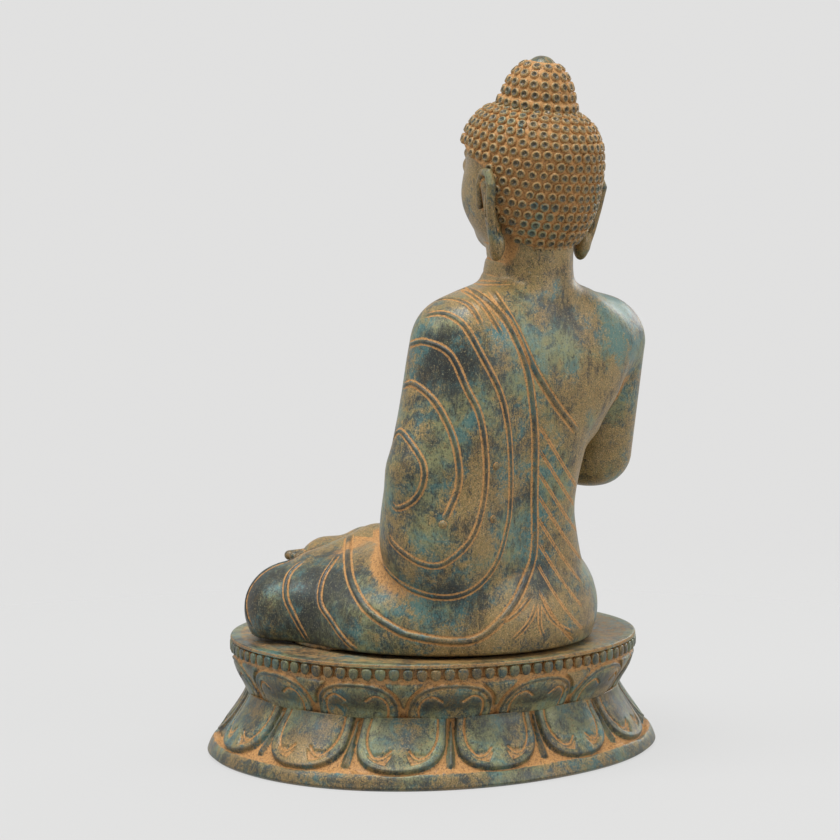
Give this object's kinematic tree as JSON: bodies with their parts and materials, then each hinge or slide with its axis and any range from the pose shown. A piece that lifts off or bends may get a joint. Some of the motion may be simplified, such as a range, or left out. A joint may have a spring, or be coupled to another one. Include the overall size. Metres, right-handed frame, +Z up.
{
  "type": "seated buddha statue",
  "caption": "Seated cast bronze buddha with raised right hand, on an oval double lotus base with a beaded rim.",
  "frame": {"origin": "on the floor under the middle of the oval lotus base", "axes": "+Z up, the figure faces -Y, and +X is towards the figure's left hand"},
  "size_m": [0.178, 0.153, 0.26],
  "materials": {
    "patinated_bronze": "weathered slate and teal patina with ochre in the recesses",
    "smooth_bronze": "dark rubbed patina",
    "brazed_bronze": "rough ochre brazing metal"
  },
  "bodies": {
    "root": {"lower_lotus_tier": "patinated_bronze", "upper_lotus_tier": "patinated_bronze", "rim_beading": "patinated_bronze", "seat_plate": "patinated_bronze", "rear_left_lug": "brazed_bronze", "rear_right_lug": "brazed_bronze", "front_left_lug": "brazed_bronze", "front_right_lug": "brazed_bronze", "lap": "patinated_bronze", "torso": "patinated_bronze", "left_arm": "patinated_bronze", "right_arm": "patinated_bronze", "right_hand": "patinated_bronze", "left_hand": "patinated_bronze", "right_foot": "patinated_bronze", "left_foot": "patinated_bronze", "head": "patinated_bronze", "hair_cap": "patinated_bronze", "topknot": "patinated_bronze", "topknot_jewel": "smooth_bronze", "urna": "smooth_bronze", "core_plugs": "brazed_bronze"}
  },
  "joints": []
}
